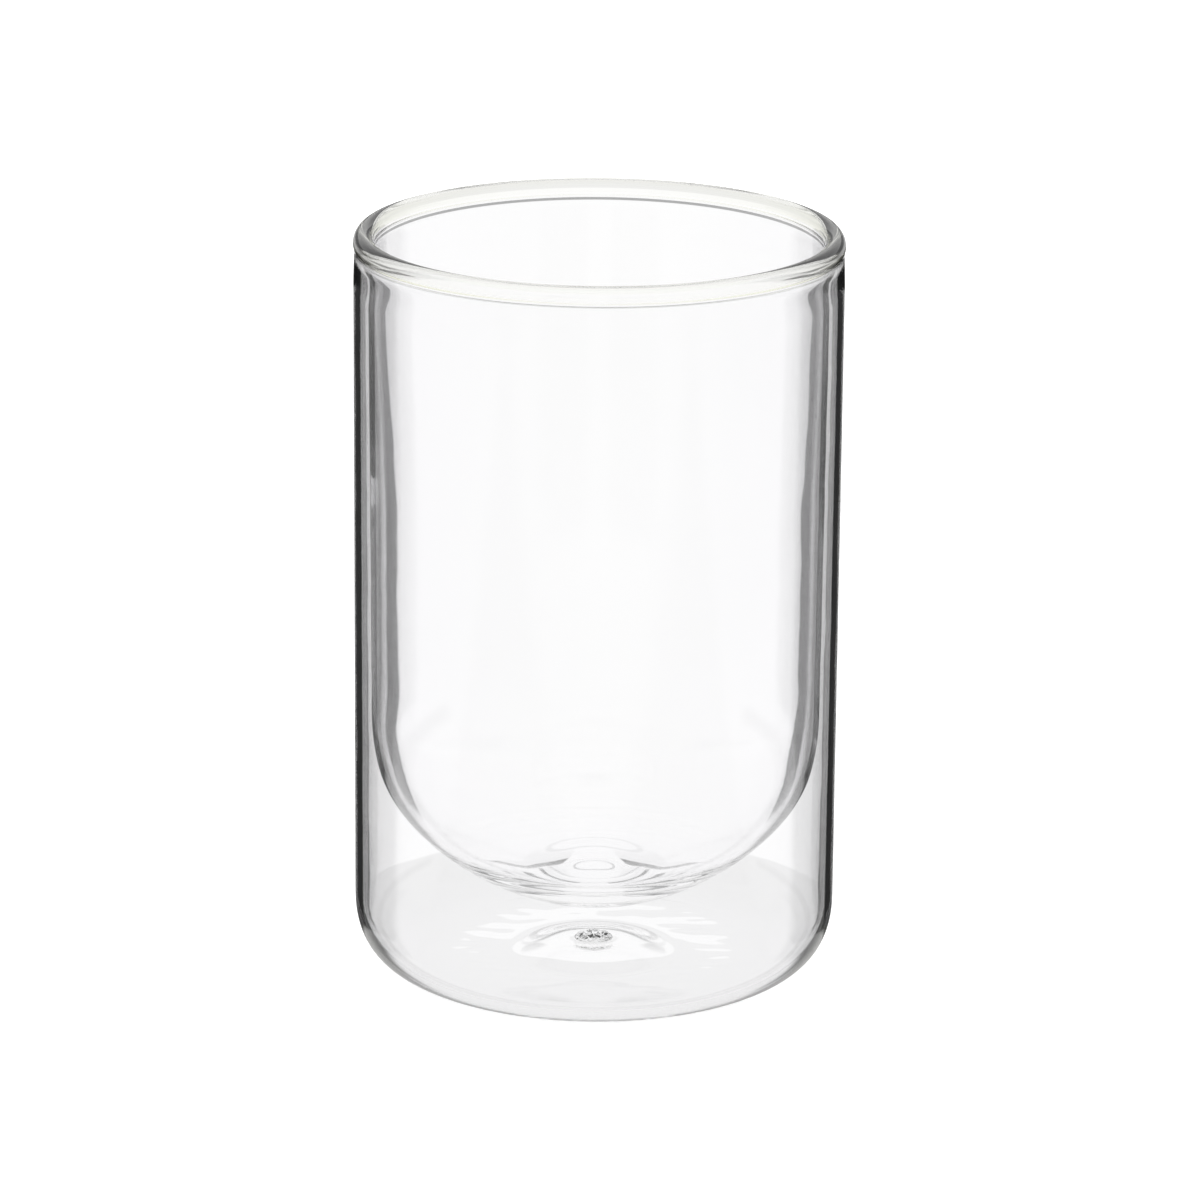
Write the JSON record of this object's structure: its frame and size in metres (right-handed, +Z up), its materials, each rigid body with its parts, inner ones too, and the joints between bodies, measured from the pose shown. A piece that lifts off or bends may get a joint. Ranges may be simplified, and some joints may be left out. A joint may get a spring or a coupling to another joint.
{
  "type": "double-walled drinking glass",
  "caption": "Straight clear-glass tumbler with a rounded inner cup hung inside an outer cup, fused at the rim, with a sealed air gap between them.",
  "frame": {"origin": "middle of the foot, on the surface that the glass stands on", "axes": "+Z up along the axis of the glass, from the foot to the mouth; X and Y are any two level directions, because the glass is round"},
  "size_m": [0.08, 0.08, 0.125],
  "materials": {
    "inner_glass": "clear, smooth, blown",
    "outer_glass": "clear, smooth, blown",
    "rim_glass": "clear, flame-polished, green-olive in its thickness",
    "seal_glass": "clear, flame-sealed, uneven"
  },
  "bodies": {
    "root": {"inner_cup": "inner_glass", "outer_cup": "outer_glass", "rim_bead": "rim_glass", "vent_seal": "seal_glass"}
  },
  "joints": []
}
